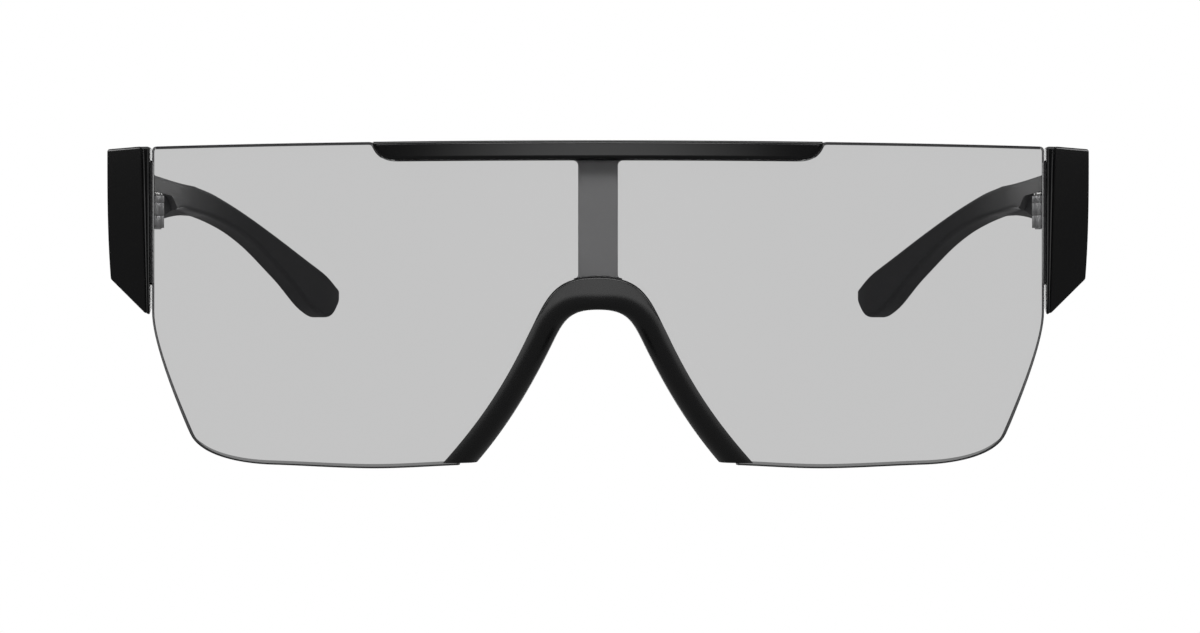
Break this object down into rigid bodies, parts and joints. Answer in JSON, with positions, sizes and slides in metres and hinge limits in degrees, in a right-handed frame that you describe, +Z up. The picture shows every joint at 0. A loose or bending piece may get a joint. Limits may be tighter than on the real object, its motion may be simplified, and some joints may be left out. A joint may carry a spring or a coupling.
{
  "type": "rectangular shield sunglasses",
  "caption": "Rimless rectangular shield sunglasses with a see-through smoke lens, brow bar, nose bridge, tall end blocks and folding temples.",
  "frame": {"origin": "middle of the width and of the depth, level with the lens's lowest edge", "axes": "+X to the right seen from the front, +Y back to the temple tips, +Z up"},
  "size_m": [0.1534, 0.161, 0.049],
  "materials": {
    "smoke_lens": "polished",
    "gloss_black": "gloss",
    "satin_black": "satin",
    "grey_strut": "satin",
    "soft_black": "matt",
    "hinge_metal": "satin",
    "screw_steel": "polished"
  },
  "bodies": {
    "front": {"shield_lens": "smoke_lens", "brow_bar": "gloss_black", "centre_strut": "grey_strut", "nose_bridge": "satin_black", "nose_pad_left": "soft_black", "end_block_left": "gloss_black", "hinge_front_leaf_left": "hinge_metal", "hinge_screw_left": "screw_steel", "front_leaf_screw_left": "screw_steel", "nose_pad_right": "soft_black", "end_block_right": "gloss_black", "hinge_front_leaf_right": "hinge_metal", "hinge_screw_right": "screw_steel", "front_leaf_screw_right": "screw_steel"},
    "temple_left": {"temple_arm_left": "satin_black", "hinge_rear_leaf_left": "hinge_metal", "rear_leaf_screw_near_left": "screw_steel", "rear_leaf_screw_far_left": "screw_steel"},
    "temple_right": {"temple_arm_right": "satin_black", "hinge_rear_leaf_right": "hinge_metal", "rear_leaf_screw_near_right": "screw_steel", "rear_leaf_screw_far_right": "screw_steel"}
  },
  "joints": [
    {"name": "temple_fold_left", "type": "hinge", "parent": "front", "child": "temple_left", "pos_m": [-0.06915, -0.05255, 0.0391], "axis": [0, 0, -1], "range_deg": [0, 85]},
    {"name": "temple_fold_right", "type": "hinge", "parent": "front", "child": "temple_right", "pos_m": [0.06915, -0.05255, 0.0391], "axis": [0, 0, 1], "range_deg": [0, 79]}
  ]
}
